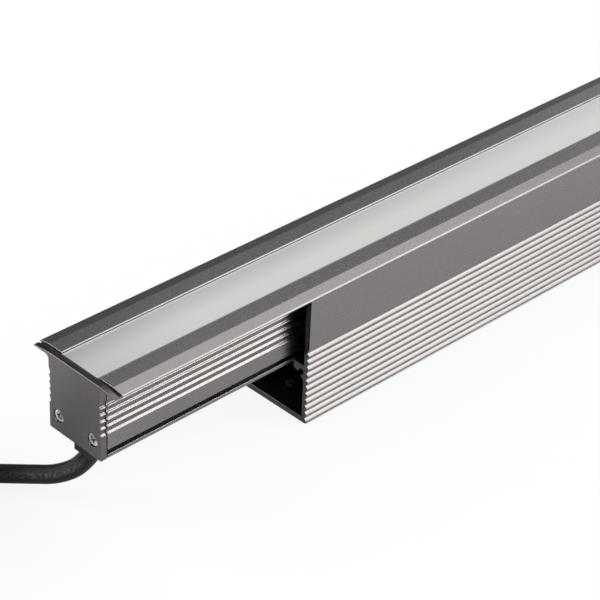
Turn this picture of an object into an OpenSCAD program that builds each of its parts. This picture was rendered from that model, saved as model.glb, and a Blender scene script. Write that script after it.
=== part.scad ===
// Wall washer light: a slim lamp with a frosted window that lies in a ribbed installation channel.
// The origin is the middle of the channel's underside. X runs along the lamp, away from its cable end,
// Y runs across it and Z points up. All lengths are in millimetres.

/* [Overall] */
// Length of the channel, and of the lamp over its end caps
length = 500; // [330:1:1200]
// How far the lamp is drawn out of the channel
slide_out = 106; // [60:1:120]

/* [Channel] */
// Width over the channel's walls
channel_w = 47.6; // [47:0.1:50]
// Thickness of the channel's floor
floor_t = 2.6; // [2:0.1:4]
// Thickness of the channel's walls, ribs included
wall_t = 2.8; // [2.5:0.1:3]
// Height of the ledges that carry the lamp
ledge_h = 29; // [28.5:0.5:34]
// Distance between the two ledges
ledge_gap = 30; // [28:0.5:31]
// Thickness of a ledge at its free edge
ledge_t = 3.5; // [3:0.1:4]
// Radius of the screw ports under the ledges
port_r = 1.5; // [1.2:0.05:1.6]
// Ribs on the outside of each wall
channel_ribs = 11; // [6:1:12]
// Depth of the channel's ribs
channel_rib_depth = 1.1; // [0.6:0.1:1.2]
// Height of the lowest rib's edge
channel_rib_foot = 1.4; // [1.2:0.1:2]
// Height at which the teeth inside the walls start, over the ledges
teeth_foot = 13.2; // [12:0.2:13.8]
// Teeth inside each wall
teeth = 10; // [4:1:10]
// Spacing of the teeth
tooth_pitch = 2; // [1.6:0.05:2.05]
// Depth of the teeth
tooth_depth = 0.8; // [0.4:0.1:0.9]
// Diameter of the fixing holes in the floor
fix_hole_d = 4.2; // [3.2:0.1:5.2]
// Distance of the end fixing holes from the channel's ends
fix_hole_in = 13; // [10:1:30]
// Fixing holes along the floor
fix_holes = 4; // [2:1:6]

/* [Lamp body] */
// Width of the lamp's body
body_w = 32; // [31.4:0.1:34]
// Height of the flanges' underside over the lamp's foot
flange_under = 34.4; // [34:0.1:36]
// Width over the flanges
flange_w = 50.4; // [50:0.1:56]
// Thickness of the flanges
flange_t = 2.1; // [1.8:0.1:2.6]
// Width of the flat top over both flanges
crown_w = 39; // [36:0.5:42]
// Height that the flanges lose from the flat top to their tips
flange_fall = 0.9; // [0.6:0.1:1.1]
// Spacing of the ribs, on the lamp and on the channel
rib_pitch = 3.36; // [3.2:0.01:3.5]
// Height of the lowest rib's edge over the lamp's foot
rib_foot = 12.1; // [11:0.1:12.5]
// Hollows between the ribs on each side of the lamp
hollows = 5; // [3:1:5]
// Depth of the lamp's ribs
rib_depth = 0.85; // [0.4:0.05:1]
// Height of the clip groove's lower edge
groove_foot = 2.1; // [1.6:0.1:2.4]
// Height of the clip groove
groove_h = 2.4; // [1.6:0.1:2.6]
// Depth of the clip groove
groove_depth = 3; // [1.5:0.1:3.4]
// Wall thickness of the lamp's body
skin = 2.2; // [1.8:0.1:2.4]
// Height of the web that carries the light board
web_h = 19; // [18.8:0.1:20]
// Thickness of that web
web_t = 2; // [1.5:0.1:2.4]

/* [Window] */
// Clear width between the flanges
window_w = 23.4; // [22:0.1:24]
// Thickness of the diffuser
diffuser_t = 4; // [3:0.1:4.5]
// Depth of the diffuser's face below the flanges
window_sink = 0.6; // [0.4:0.1:1]
// Thickness of the seal under the diffuser
seal_t = 0.4; // [0.3:0.05:0.6]
// Thickness of the seal beside the diffuser
seal_side = 0.25; // [0.15:0.05:0.5]
// Width of the step that carries the diffuser
seat_w = 2; // [1.5:0.1:2.5]

/* [End caps] */
// Thickness of the end caps
cap_t = 2.6; // [2.6:0.1:4]
// Thickness of the gaskets behind them
gasket_t = 0.7; // [0.4:0.1:1]
// Radius of the caps' lower corners
cap_corner_r = 0.6; // [0.4:0.1:1.5]
// Distance of the cap screws from the sides of the body
cap_screw_in = 5.5; // [5.3:0.1:6]
// Height of the cap screws over the lamp's foot
cap_screw_h = 7.7; // [7.4:0.1:8]
// Diameter of the cap screws' heads
cap_head_d = 5.6; // [5:0.1:6]
// Height of the cap screws' heads
cap_head_h = 1.2; // [0.9:0.1:1.3]
// Depth of the screw heads below the cap's face
cap_head_sink = 0.9; // [0.6:0.1:1]
// Shank diameter of the cap screws
cap_shank_d = 2.9; // [2.5:0.1:3]
// Length of the cap screws below their heads
cap_screw_l = 12; // [8:1:20]

/* [Light board] */
// Room beside the light board, on each side
board_play = 0.95; // [0.4:0.05:2]
// Thickness of the light board
board_t = 1.6; // [1:0.1:2]
// Thickness of the thermal pad below it
pad_t = 0.3; // [0.2:0.1:0.5]
// Distance of the board from the lamp's cable end
board_in = 20; // [19:0.5:24]
// Spacing of the light sources
led_pitch = 12.5; // [10:0.5:25]
// Width of one light source
led_w = 3; // [2.5:0.1:3.5]
// Height of one light source
led_h = 0.8; // [0.5:0.1:1.5]
// Screws that hold the board
board_screw_count = 6; // [3:1:8]
// Distance of the board screws from the board's edges
board_screw_in = 3.5; // [3:0.5:5]
// Length of the connector on the board
connector_l = 7; // [6:0.5:9]

/* [Supply] */
// Room beside the driver, on each side
driver_play = 0.9; // [0.6:0.1:1.4]
// Length of the driver
driver_l = 170; // [80:5:250]
// Distance of the driver from the lamp's cable end
driver_in = 62; // [60:1:70]
// Thickness of the foam pad below the driver
driver_pad_t = 0.8; // [0.5:0.1:0.9]
// Length of the terminal block
terminal_l = 16; // [14:1:18]
// Room beside the terminal block, on each side
terminal_play = 0.9; // [0.4:0.1:1.4]
// Height of the terminal block
terminal_h = 12; // [11:0.5:12]
// Distance of the terminal block from the lamp's cable end
terminal_in = 28; // [26:1:28]
// Diameter of an insulated core
core_d = 2.1; // [1.6:0.1:2.2]
// Diameter of the leads to the light board
lead_d = 1.6; // [1.2:0.1:1.8]

/* [Cable] */
// Diameter of the rubber cable
cable_d = 8; // [7:0.1:8]
// Width of the square grommet, across the lamp
grommet_w = 10; // [9.8:0.1:11]
// Length of the grommet, along the lamp
grommet_l = 9; // [8.8:0.1:10]
// Height of the grommet below the lamp
grommet_h = 7; // [5:0.5:9]
// Turns in each layer of the coil
coil_turns = 1; // [1:1:2]
// Layers of the coil
coil_layers = 4; // [2:2:6]
// Radius of the coil's outer turn, at the middle of the cable
coil_r = 38; // [34:1:60]

/* [Hidden] */

$fn = 48;
fit = 0.05;         // radial clearance of a screw or wire in its hole
slip = 0.3;         // clearance between the flanges and the channel's walls
overrun = 1;        // how far a cut runs past a face

// Colours of the finishes
anodised = [0.42, 0.40, 0.38];
frosted = [0.86, 0.86, 0.85];
steel = [0.78, 0.77, 0.75];
black_rubber = [0.10, 0.10, 0.10];
board_white = [0.90, 0.90, 0.87];
lens_yellow = [0.93, 0.85, 0.40];
grey_pad = [0.55, 0.56, 0.58];
brown_core = [0.35, 0.20, 0.12];
blue_core = [0.15, 0.30, 0.65];
green_core = [0.35, 0.55, 0.15];
red_core = [0.70, 0.12, 0.10];

// Where the lamp and its profile begin along X
lamp_x0 = -length / 2 - slide_out;
profile_in = cap_t + gasket_t;
profile_l = length - profile_in - profile_in;

// The channel's outline
channel_y = channel_w / 2;
wall_y = channel_y - wall_t;
wall_top = ledge_h + flange_under - slip;
ledge_y = ledge_gap / 2;
channel_foot_break = 0.7;   // bevel at the foot of the walls
channel_rib_rise = 1;       // height of a channel rib's rounded upper face
ledge_nose_w = 2.5;         // width and height of the bevel under the ledge
ledge_nose_h = 0.7;
port_wall = 1.54;           // place of a screw port from the wall and from the ledge's top
port_drop = 3.73;
port_mouth = 193;           // directions of the port's open mouth, and how far its lower lip reaches
port_lip = 265;
port_lip_r = 1.98;
flare_drop = 7.7;           // depth of the port's flared foot below the ledge's top
tooth_root = 0.3;           // how far the teeth's roots lie behind the wall's inner face

// The lamp's outline, over its foot
body_y = body_w / 2;
crown_y = crown_w / 2;
flange_y = flange_w / 2;
window_y = window_w / 2;
flange_top = flange_under + flange_t;
window_face = flange_top - window_sink;
glass_foot = window_face - diffuser_t;
seat_h = glass_foot - seal_t;
rib_rise = 0.6;             // height of a lamp rib's upper face
edge_break = 0.5;           // bevel at the lamp's foot
flange_fillet = 1.2;        // bevel under the flange
tip_rise = 0.2;             // how far the flange's underside rises to its tip
tip_break = 0.3;            // bevels at the flange's tip and at the window
tip_top_break = 0.4;
hollow_shares = [0, 0.4, 0.7, 1];
slope_shares = [0, 1];
crest_shares = [1 / 3, 2 / 3];
crest_power = 1.5;

// Inside the lamp
chamber_y = body_y - rib_depth - skin;
boss_wall = 1.15;           // wall round the cap screws
cap_screw_y = body_y - cap_screw_in;
trough_y = cap_screw_y - cap_shank_d / 2 - boss_wall;
trough_h = 2.4;             // height of the trough's floor
shoulder_h = 6.7;           // height of the shoulders beside the trough
web_top = web_h + web_t;
seat_t = 1.5;               // thickness of the step that carries the diffuser
seat_slope = 1.2;           // bevel under that step
lead_hole_d = 6;            // passage in the web for the leads
lead_in = 14.5;             // its distance from the lamp's cable end

// End caps
cap_tip_t = 0.3;            // thickness of the cap's wings at their tips
cap_flat_in = 0.4;          // how far the cap's flat top stays inside the body's width
cap_hole_play = 0.3;        // radial room round a screw head
cap_shank_play = 0.15;      // radial room round a screw's shank
gasket_inset = 0.2;         // how far the gasket stays inside the cap's outline
gasket_wing_in = 1;         // how far it stays inside the cap's wings
gasket_wing_t = 0.1;        // its thickness there

// Screw heads
head_edge_share = 0.5;
head_top_share = 0.86;
recess_depth_share = 0.6;
recess_span_share = 0.56;
recess_width_share = 0.15;

// Light board
board_w = (chamber_y - board_play) * 2;
board_screw_y = board_w / 2 - board_screw_in;
board_out = 8;              // distance of the board from the lamp's far end
board_foot = web_top + pad_t;
board_top = board_foot + board_t;
board_l = length - board_in - board_out;
led_gap = 7;                // distance of the first light source from the connector
connector_in = 2;           // distance of the connector from the board's end
connector_w = 7;
connector_h = 3.5;
board_head_d = 4.4;
board_head_h = 1.5;
board_shank_d = 2.3;

// Supply
driver_w = (trough_y - driver_play) * 2;
driver_foot = trough_h + driver_pad_t;
driver_headroom = 1.8;      // room above the driver, under the web
driver_h = web_h - driver_headroom - driver_foot;
driver_edge = 1;            // bevel along the driver's edges
terminal_w = (trough_y - terminal_play) * 2;
pole_pitch_share = 0.3;
pole_pitch = terminal_w * pole_pitch_share;
pole_h = trough_h + terminal_h / 2;
pole_insert = 5;            // how far a wire goes into its pole
pole_screw_d = 2.4;
pole_screw_in = 3.5;        // distance of a pole's screws from the block's ends
pole_slot = 0.6;            // width and depth of their slots
lead_z = 16;                // height of the leads under the web
lead_y = 1.5;               // distance of the leads from the middle line
lead_bend = 2.4;            // radius of their bends
connector_z = board_top + connector_h / 2;
core_pitch = 2.3;           // spacing of the cores where they leave the cable
core_bend = 3.2;            // radius of their bend
earth_in = 54;              // distance of the earth screw from the lamp's cable end
earth_head_d = 5;
earth_head_h = 1.8;
earth_shank_d = 2.8;
earth_depth = 1.8;          // depth of the earth screw in the floor
lug_d = 5.6;                // the ring under the earth screw, and its barrel
lug_play = 0.9;
earth_y = trough_y - lug_d / 2 - lug_play;
lug_t = 0.8;
barrel_d = 2.6;
barrel_l = 3;
bend_shares = [0, 0.25, 0.5, 0.75, 1];

// Grommet and cable
cable_in = profile_in + grommet_l / 2;
neck_in = 0.4;              // how much narrower the grommet's neck is than its foot, on each side
lip_over = 1.2;             // how far its inner lip reaches past the slot's end
lip_t = 1.8;
tail_top = trough_h + lip_t + pole_slot;
cable_r = cable_d / 2;
cord_sides = 12;
wire_sides = 8;

// The cable's route from the grommet's foot: along X, along Y, and the share of the drop to the ground
route = [[0, 0, 0], [-0.2, 0.4, 0.11], [-1.1, 1.7, 0.26], [-2.6, 3.1, 0.4], [-4.4, 4.7, 0.52],
    [-6.3, 6.6, 0.61], [-8.3, 8.9, 0.69], [-10.8, 12.2, 0.77], [-14.2, 17.9, 0.86], [-18.4, 24, 0.93],
    [-23.4, 30.2, 0.98], [-28.9, 35.8, 1], [-33.8, 40.2, 1], [-38.6, 44.5, 1], [-43.6, 49, 1],
    [-48.5, 53.5, 1]];
drop = ledge_h - grommet_h - cable_r;
cord_exit = [lamp_x0 + cable_in, 0, ledge_h - grommet_h];
cord_points = [for (p = route) cord_exit + [p[0], p[1], -drop * p[2]]];
cord_end = cord_points[len(route) - 1];
cord_heading = unit(cord_end - cord_points[len(route) - 2]);

// The coil: its layers wind in and out by turns, from the ground up
coil_rings = 24;            // points in each turn
coil_sides = 6;
coil_play = 0.6;            // room beside a turn
layer_play = 0.5;           // room between the layers
coil_step = cable_d + coil_play;
layer_step = cable_d + layer_play;
coil_left = cross([0, 0, 1], cord_heading);
coil_start = cord_end + cable_d * cord_heading;
coil_centre = coil_start + coil_r * coil_left;
coil_angle = atan2(-coil_left[1], -coil_left[0]);
climb_turns = 0.5;

function unit(v) = v / norm(v);

function sum(v) = v * [for (x = v) 1];

function smooth_step(s) = let (c = min(1, max(0, s))) c * c * (3 - 2 * c);

// A whole outline from the points of its +Y half, which run from its foot to its top
function both_sides(half) = concat(half, [for (i = [len(half) - 1 : -1 : 0]) [-half[i][0], half[i][1]]]);

// One side of a row of ribs: an upper face leads in from each edge, over the crest's points if there are
// any, and a slope leads out to the next edge
function rib_points(edge_y, depth, foot, count, rise, crests, shares, power) = [for (i = [0 : count - 1])
    let (z = foot + i * rib_pitch)
    each concat(
        [for (s = crests) [edge_y - depth * pow(s, crest_power), z + rise * s]],
        [for (s = shares) [edge_y - depth * (1 - pow(s, power)), z + rise + (rib_pitch - rise) * s]])];

// The +Y half of the channel's outline, up its outside and down its inside
function channel_half() = let (
    teeth_h = ledge_h + teeth_foot,
    root_y = wall_y + tooth_root,
    port = [wall_y - port_wall, ledge_h - port_drop])
    concat([[channel_y - channel_foot_break, 0], [channel_y, channel_rib_foot]],
        rib_points(channel_y, channel_rib_depth, channel_rib_foot, channel_ribs, channel_rib_rise,
            crest_shares, slope_shares, 1),
        [[channel_y, wall_top], [root_y, wall_top]],
        [for (i = [teeth - 1 : -1 : 0]) for (s = [1, 0.5])
            [s == 1 ? root_y : root_y - tooth_depth, teeth_h + tooth_pitch * (i + s)]],
        [[root_y, teeth_h], [wall_y, teeth_h], [wall_y, ledge_h], [ledge_y, ledge_h],
            [ledge_y, ledge_h - ledge_t], [ledge_y + ledge_nose_w, ledge_h - ledge_t - ledge_nose_h],
            port + port_r * [cos(port_mouth), sin(port_mouth)], port,
            port + port_lip_r * [cos(port_lip), sin(port_lip)],
            [wall_y, ledge_h - flare_drop], [wall_y, floor_t]]);

// The +Y half of the lamp's outline, from its foot over the flange and down to the diffuser's seat
function lamp_half() = concat(
    [[body_y - edge_break, 0], [body_y, edge_break], [body_y, groove_foot],
        [body_y - groove_depth, groove_foot], [body_y - groove_depth, groove_foot + groove_h],
        [body_y, groove_foot + groove_h], [body_y, rib_foot]],
    rib_points(body_y, rib_depth, rib_foot, hollows, rib_rise, [], hollow_shares, 2),
    [[body_y, flange_under - flange_fillet], [body_y + flange_fillet, flange_under],
        [flange_y - tip_break, flange_under + tip_rise], [flange_y, flange_under + tip_rise + tip_break],
        [flange_y, flange_top - flange_fall - tip_top_break],
        [flange_y - tip_top_break, flange_top - flange_fall], [crown_y, flange_top],
        [window_y + tip_break, flange_top], [window_y, flange_top - tip_break], [window_y, seat_h],
        [window_y - seat_w, seat_h]]);

lower_half = [[trough_y, trough_h], [trough_y, shoulder_h], [chamber_y, shoulder_h], [chamber_y, web_h]];
upper_half = [[chamber_y, web_top], [chamber_y, seat_h - seat_t - seat_slope],
    [window_y - seat_w, seat_h - seat_t], [window_y - seat_w, seat_h + overrun]];

// The +Y half of an end cap's outline
function cap_half() = concat(
    [[body_y - cap_corner_r, 0], [body_y, cap_corner_r], [body_y, rib_foot]],
    rib_points(body_y, rib_depth, rib_foot, hollows, rib_rise, [], hollow_shares, 2),
    [[body_y, flange_under - flange_fillet], [body_y + flange_fillet, flange_under],
        [flange_y, flange_under], [flange_y, flange_under + cap_tip_t],
        [body_y - cap_flat_in, window_face]]);

// The +Y half of a gasket's outline, a little inside the cap's
function gasket_half() = let (g = gasket_inset, wing_y = flange_y - gasket_wing_in)
    concat([[body_y - cap_corner_r - g, g], [body_y - g, cap_corner_r + g], [body_y - g, rib_foot]],
        rib_points(body_y - g, rib_depth, rib_foot, hollows, rib_rise, [], hollow_shares, 2),
        [[body_y - g, flange_under + g], [wing_y, flange_under + g],
            [wing_y, flange_under + g + gasket_wing_t], [body_y - cap_flat_in, window_face - g]]);

cap_screw_places = [-cap_screw_y, cap_screw_y];

// Points of a bend in the XZ plane at one y, between two directions from its centre
function bend(x, y, z, r, from, to) = [for (s = bend_shares) let (a = from + (to - from) * s)
    [x + r * cos(a), y, z + r * sin(a)]];

// Sideways directions carried along a row of headings without twist
function carried(h, i, side) = i >= len(h) ? []
    : let (next = unit(side - (side * h[i]) * h[i])) concat([next], carried(h, i + 1, next));

// The rings of a tube along points, square to the given headings at both ends
function tube_rings(p, r, sides, first, last, side) = let (
    n = len(p),
    h = [for (i = [0 : n - 1]) i == 0 ? first : i == n - 1 ? last : unit(p[i + 1] - p[i - 1])],
    u = carried(h, 0, side))
    [for (i = [0 : n - 1]) let (v = cross(h[i], u[i])) [for (k = [0 : sides - 1])
        let (a = 360 * k / sides) p[i] + r * (cos(a) * u[i] + sin(a) * v)]];

// A closed tube on such rings
module tube(rings) {
    n = len(rings);
    sides = len(rings[0]);
    skin_faces = [for (i = [0 : n - 2]) for (k = [0 : sides - 1]) let (
        next = (k + 1) % sides,
        a = i * sides + k,
        b = i * sides + next,
        c = a + sides,
        d = b + sides) each [[a, c, d], [a, d, b]]];
    ends = [[for (k = [0 : sides - 1]) k], [for (k = [sides - 1 : -1 : 0]) (n - 1) * sides + k]];
    polyhedron([for (ring = rings) each ring], concat(ends, skin_faces));
}

// A prism along X: the outline's first axis becomes Y and its second becomes Z
module along(x, l) {
    translate([x, 0, 0]) rotate([90, 0, 90]) linear_extrude(l) children();
}

// A round bar or hole along X
module bar(x, y, z, l, d) {
    translate([x, y, z]) rotate([0, 90, 0]) cylinder(h = l, d = d);
}

// Puts a piece on the lamp: its x counts from the cable end and its z from the lamp's foot
module on_lamp() {
    translate([lamp_x0, 0, ledge_h]) children();
}

// Puts a piece of the cable end at the far end, turned round
module far_end() {
    translate([length, 0, 0]) mirror([1, 0, 0]) children();
}

// A cross-head screw: its head stands on z = 0 and its shank hangs below
module pan_screw(head_d, head_h, shank_d, shank_l) {
    edge_h = head_h * head_edge_share;
    span = head_d * recess_span_share;
    width = head_d * recess_width_share;
    depth = head_h * recess_depth_share;
    difference() {
        union() {
            cylinder(h = edge_h, d = head_d);
            translate([0, 0, edge_h])
                cylinder(h = head_h - edge_h, d1 = head_d, d2 = head_d * head_top_share);
        }
        for (turn = [0, 90])
            rotate([0, 0, turn])
                translate([-span / 2, -width / 2, head_h - depth])
                    cube([span, width, depth + overrun]);
    }
    translate([0, 0, -shank_l]) cylinder(h = shank_l, d = shank_d);
}

// The channel: two ribbed walls on a floor, with ledges, open screw ports and toothed tops
module channel() {
    hole_span = length - fix_hole_in - fix_hole_in;
    color(anodised)
        difference() {
            along(-length / 2, length)
                difference() {
                    polygon(both_sides(channel_half()));
                    for (side = [-1, 1])
                        translate([side * (wall_y - port_wall), ledge_h - port_drop]) circle(port_r);
                }
            for (i = [0 : fix_holes - 1])
                translate([-hole_span / 2 + hole_span * i / (fix_holes - 1), 0, -overrun])
                    cylinder(h = floor_t + overrun + overrun, d = fix_hole_d);
        }
}

module lamp_section() {
    difference() {
        union() {
            difference() {
                polygon(both_sides(lamp_half()));
                polygon(both_sides(lower_half));
                polygon(both_sides(upper_half));
            }
            for (y = cap_screw_places)
                translate([y, cap_screw_h]) circle(cap_shank_d / 2 + boss_wall);
        }
        for (y = cap_screw_places)
            translate([y, cap_screw_h]) circle(cap_shank_d / 2 + fit);
    }
}

// Places of the board's screws, on alternate sides
board_screw_places = [for (i = [0 : board_screw_count - 1])
    [board_in + board_l * (i + 0.5) / board_screw_count, (i % 2 == 0 ? 1 : -1) * board_screw_y]];

module board_holes(foot, h) {
    for (place = board_screw_places)
        translate([place[0], place[1], foot - overrun])
            cylinder(h = h + overrun + overrun, d = board_shank_d + fit + fit);
}

// The lamp's extruded body
module lamp_profile() {
    slot_w = grommet_w - neck_in - neck_in;
    color(anodised)
        on_lamp()
            difference() {
                along(profile_in, profile_l) lamp_section();
                translate([profile_in - overrun, -slot_w / 2, -overrun])
                    cube([grommet_l + overrun, slot_w, trough_h + overrun + overrun]);
                translate([lead_in, 0, web_h - overrun])
                    cylinder(h = web_t + overrun + overrun, d = lead_hole_d);
                translate([earth_in, earth_y, trough_h - earth_depth])
                    cylinder(h = earth_depth + overrun, d = earth_shank_d + fit + fit);
                board_holes(web_h, web_t);
            }
}

// The frosted window
module diffuser() {
    glass_y = window_y - seal_side;
    color(frosted)
        on_lamp()
            translate([profile_in, -glass_y, glass_foot])
                cube([profile_l, glass_y + glass_y, diffuser_t]);
}

// A strip of sealant under and beside one edge of the window
module seal() {
    color(grey_pad)
        on_lamp()
            along(profile_in, profile_l)
                polygon([[window_y, seat_h], [window_y, window_face - tip_break],
                    [window_y - seal_side, window_face - tip_break], [window_y - seal_side, glass_foot],
                    [window_y - seat_w, glass_foot], [window_y - seat_w, seat_h]]);
}

module seal_near() {
    mirror([0, 1, 0]) seal();
}

module seal_far() {
    seal();
}

// An end cap at the cable end, with counterbores for its two screws
module end_cap() {
    difference() {
        along(0, cap_t)
            union() {
                polygon(both_sides(cap_half()));
                for (side = [-1, 1])
                    translate([side * (body_y - cap_corner_r), cap_corner_r]) circle(cap_corner_r);
            }
        for (y = cap_screw_places) {
            bar(-overrun, y, cap_screw_h, overrun + cap_head_sink + cap_head_h,
                cap_head_d + cap_hole_play + cap_hole_play);
            bar(-overrun, y, cap_screw_h, cap_t + overrun + overrun,
                cap_shank_d + cap_shank_play + cap_shank_play);
        }
    }
}

module front_end_cap() {
    color(anodised) on_lamp() end_cap();
}

module rear_end_cap() {
    color(anodised) on_lamp() far_end() end_cap();
}

module gasket() {
    difference() {
        along(cap_t, gasket_t) polygon(both_sides(gasket_half()));
        for (y = cap_screw_places)
            bar(cap_t - overrun, y, cap_screw_h, gasket_t + overrun + overrun,
                cap_shank_d + cap_shank_play + cap_shank_play);
    }
}

module front_gasket() {
    color(black_rubber) on_lamp() gasket();
}

module rear_gasket() {
    color(black_rubber) on_lamp() far_end() gasket();
}

module cap_screws() {
    for (y = cap_screw_places)
        translate([cap_head_sink + cap_head_h, y, cap_screw_h])
            rotate([0, -90, 0]) pan_screw(cap_head_d, cap_head_h, cap_shank_d, cap_screw_l);
}

module front_cap_screws() {
    color(steel) on_lamp() cap_screws();
}

module rear_cap_screws() {
    color(steel) on_lamp() far_end() cap_screws();
}

// The pad that carries the board's heat into the web
module thermal_pad() {
    color(grey_pad)
        on_lamp()
            difference() {
                translate([board_in, -board_w / 2, web_top]) cube([board_l, board_w, pad_t]);
                board_holes(web_top, pad_t);
            }
}

module led_board() {
    color(board_white)
        on_lamp()
            difference() {
                translate([board_in, -board_w / 2, board_foot]) cube([board_l, board_w, board_t]);
                board_holes(board_foot, board_t);
            }
}

// One row of light sources along the board
module leds() {
    first = board_in + connector_in + connector_l + led_gap;
    color(lens_yellow)
        on_lamp()
            for (x = [first : led_pitch : board_in + board_l - led_gap])
                translate([x - led_w / 2, -led_w / 2, board_top]) cube([led_w, led_w, led_h]);
}

module board_screws() {
    color(steel)
        on_lamp()
            for (place = board_screw_places)
                translate([place[0], place[1], board_top])
                    pan_screw(board_head_d, board_head_h, board_shank_d, board_t + pad_t + web_t);
}

// The plug-in connector of the leads
module board_connector() {
    x = board_in + connector_in;
    color(board_white)
        on_lamp()
            difference() {
                translate([x, -connector_w / 2, board_top]) cube([connector_l, connector_w, connector_h]);
                for (side = [-1, 1])
                    bar(x - overrun, side * lead_y, connector_z, overrun + connector_l / 2,
                        lead_d + fit + fit);
            }
}

// The potted driver, a long bar with bevelled edges on its foam pad
module driver() {
    y = driver_w / 2;
    e = driver_edge;
    h = driver_h;
    color(grey_pad)
        on_lamp()
            translate([0, 0, driver_foot])
                along(driver_in, driver_l)
                    polygon(both_sides([[y - e, 0], [y, e], [y, h - e], [y - e, h]]));
}

module driver_pad() {
    color(black_rubber)
        on_lamp()
            translate([driver_in, driver_edge - driver_w / 2, trough_h])
                cube([driver_l, driver_w - driver_edge - driver_edge, driver_pad_t]);
}

// Three poles side by side, each with a screw at both ends
module terminal_block() {
    color(board_white)
        on_lamp()
            difference() {
                translate([terminal_in, -terminal_w / 2, trough_h])
                    cube([terminal_l, terminal_w, terminal_h]);
                for (pole = [-1 : 1]) {
                    bar(terminal_in - overrun, pole * pole_pitch, pole_h, terminal_l + overrun + overrun,
                        core_d + fit + fit);
                    for (x = [terminal_in + pole_screw_in, terminal_in + terminal_l - pole_screw_in])
                        translate([x, pole * pole_pitch, pole_h])
                            cylinder(h = terminal_h / 2 + overrun, d = pole_screw_d + fit + fit);
                }
            }
}

module terminal_screws() {
    foot = pole_h + core_d / 2 + fit;
    top = trough_h + terminal_h;
    color(steel)
        on_lamp()
            for (pole = [-1 : 1])
                for (x = [terminal_in + pole_screw_in, terminal_in + terminal_l - pole_screw_in])
                    difference() {
                        translate([x, pole * pole_pitch, foot])
                            cylinder(h = top - foot, d = pole_screw_d);
                        translate([x - pole_screw_d, pole * pole_pitch - pole_slot / 2, top - pole_slot])
                            cube([pole_screw_d + pole_screw_d, pole_slot, pole_slot + overrun]);
                    }
}

// A core of the supply cable: up out of the sheath, over in a bend and along into its pole
module supply_core(pole) {
    start_y = pole * core_pitch;
    end_y = pole * pole_pitch;
    bend_end = cable_in + core_bend;
    reach = terminal_in - bend_end - core_d;
    turn = bend(bend_end, start_y, pole_h - core_bend, core_bend, 180, 90);
    run = [for (s = bend_shares) if (s > 0)
        [bend_end + reach * s, start_y + (end_y - start_y) * smooth_step(s), pole_h]];
    points = concat([[cable_in, start_y, tail_top]], turn, run,
        [[terminal_in + pole_insert, end_y, pole_h]]);
    on_lamp() tube(tube_rings(points, core_d / 2, wire_sides, [0, 0, 1], [1, 0, 0], [0, 1, 0]));
}

module wire_live() {
    color(brown_core) supply_core(-1);
}

module wire_neutral() {
    color(blue_core) supply_core(0);
}

module wire_earth() {
    color(green_core) supply_core(1);
}

// The two cores from the terminal block to the driver
module driver_leads() {
    x = terminal_in + terminal_l - pole_insert;
    color(blue_core)
        on_lamp()
            for (pole = [-1, 0])
                bar(x, pole * pole_pitch, pole_h, driver_in - x, core_d);
}

// The two leads from the driver, over the terminal block and up through the web to the board
module led_leads() {
    turn_x = lead_in + lead_bend;
    color(red_core)
        on_lamp()
            for (y = [-lead_y, lead_y]) {
                points = concat([[driver_in, y, lead_z]],
                    bend(turn_x, y, lead_z + lead_bend, lead_bend, 270, 180),
                    bend(turn_x, y, connector_z - lead_bend, lead_bend, 180, 90),
                    [[board_in + connector_in + connector_l / 2, y, connector_z]]);
                tube(tube_rings(points, lead_d / 2, wire_sides, [-1, 0, 0], [1, 0, 0], [0, 1, 0]));
            }
}

// The earth core from its pole down to the ring under the earth screw
module earth_lead() {
    start_x = terminal_in + terminal_l - pole_insert;
    fall_x = terminal_in + terminal_l + lug_t;
    end_x = earth_in - lug_d / 2 - barrel_l;
    end_z = trough_h + barrel_d / 2;
    points = concat([[start_x, pole_pitch, pole_h]],
        [for (s = bend_shares) [fall_x + (end_x - lug_t - fall_x) * s,
            pole_pitch + (earth_y - pole_pitch) * smooth_step(s),
            pole_h + (end_z - pole_h) * smooth_step(s)]],
        [[end_x, earth_y, end_z]]);
    color(green_core)
        on_lamp()
            tube(tube_rings(points, core_d / 2, wire_sides, [1, 0, 0], [1, 0, 0], [0, 1, 0]));
}

// The screw and ring lug that earth the profile
module earth_screw() {
    color(steel)
        on_lamp() {
            translate([earth_in, earth_y, trough_h + lug_t])
                pan_screw(earth_head_d, earth_head_h, earth_shank_d, earth_depth + lug_t);
            translate([earth_in, earth_y, trough_h])
                difference() {
                    cylinder(h = lug_t, d = lug_d);
                    translate([0, 0, -overrun])
                        cylinder(h = lug_t + overrun + overrun, d = earth_shank_d);
                }
            bar(earth_in - lug_d / 2 - barrel_l, earth_y, trough_h + barrel_d / 2, barrel_l, barrel_d);
        }
}

// The square rubber grommet: a foot below the lamp, a neck in the slot and a lip inside
module cable_grommet() {
    neck_w = grommet_w - neck_in - neck_in - fit - fit;
    lip_w = (trough_y - slip) * 2;
    color(black_rubber)
        on_lamp()
            difference() {
                union() {
                    translate([profile_in, -grommet_w / 2, -grommet_h])
                        cube([grommet_l, grommet_w, grommet_h]);
                    translate([profile_in, -neck_w / 2, 0]) cube([grommet_l - fit, neck_w, trough_h]);
                    translate([profile_in, -lip_w / 2, trough_h])
                        cube([grommet_l + lip_over, lip_w, lip_t]);
                }
                translate([cable_in, 0, -grommet_h - overrun])
                    cylinder(h = grommet_h + trough_h + lip_t + overrun + overrun, d = cable_d + fit + fit);
            }
}

// The cable's end inside the lamp, down to the grommet's foot
module cord_tail() {
    color(black_rubber)
        on_lamp()
            translate([cable_in, 0, -grommet_h]) cylinder(h = grommet_h + tail_top, d = cable_d);
}

// The free cable, down to the ground and away to the coil
module cord() {
    color(black_rubber)
        tube(tube_rings(cord_points, cable_r, cord_sides, [0, 0, -1], cord_heading, [0, 1, 0]));
}

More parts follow.
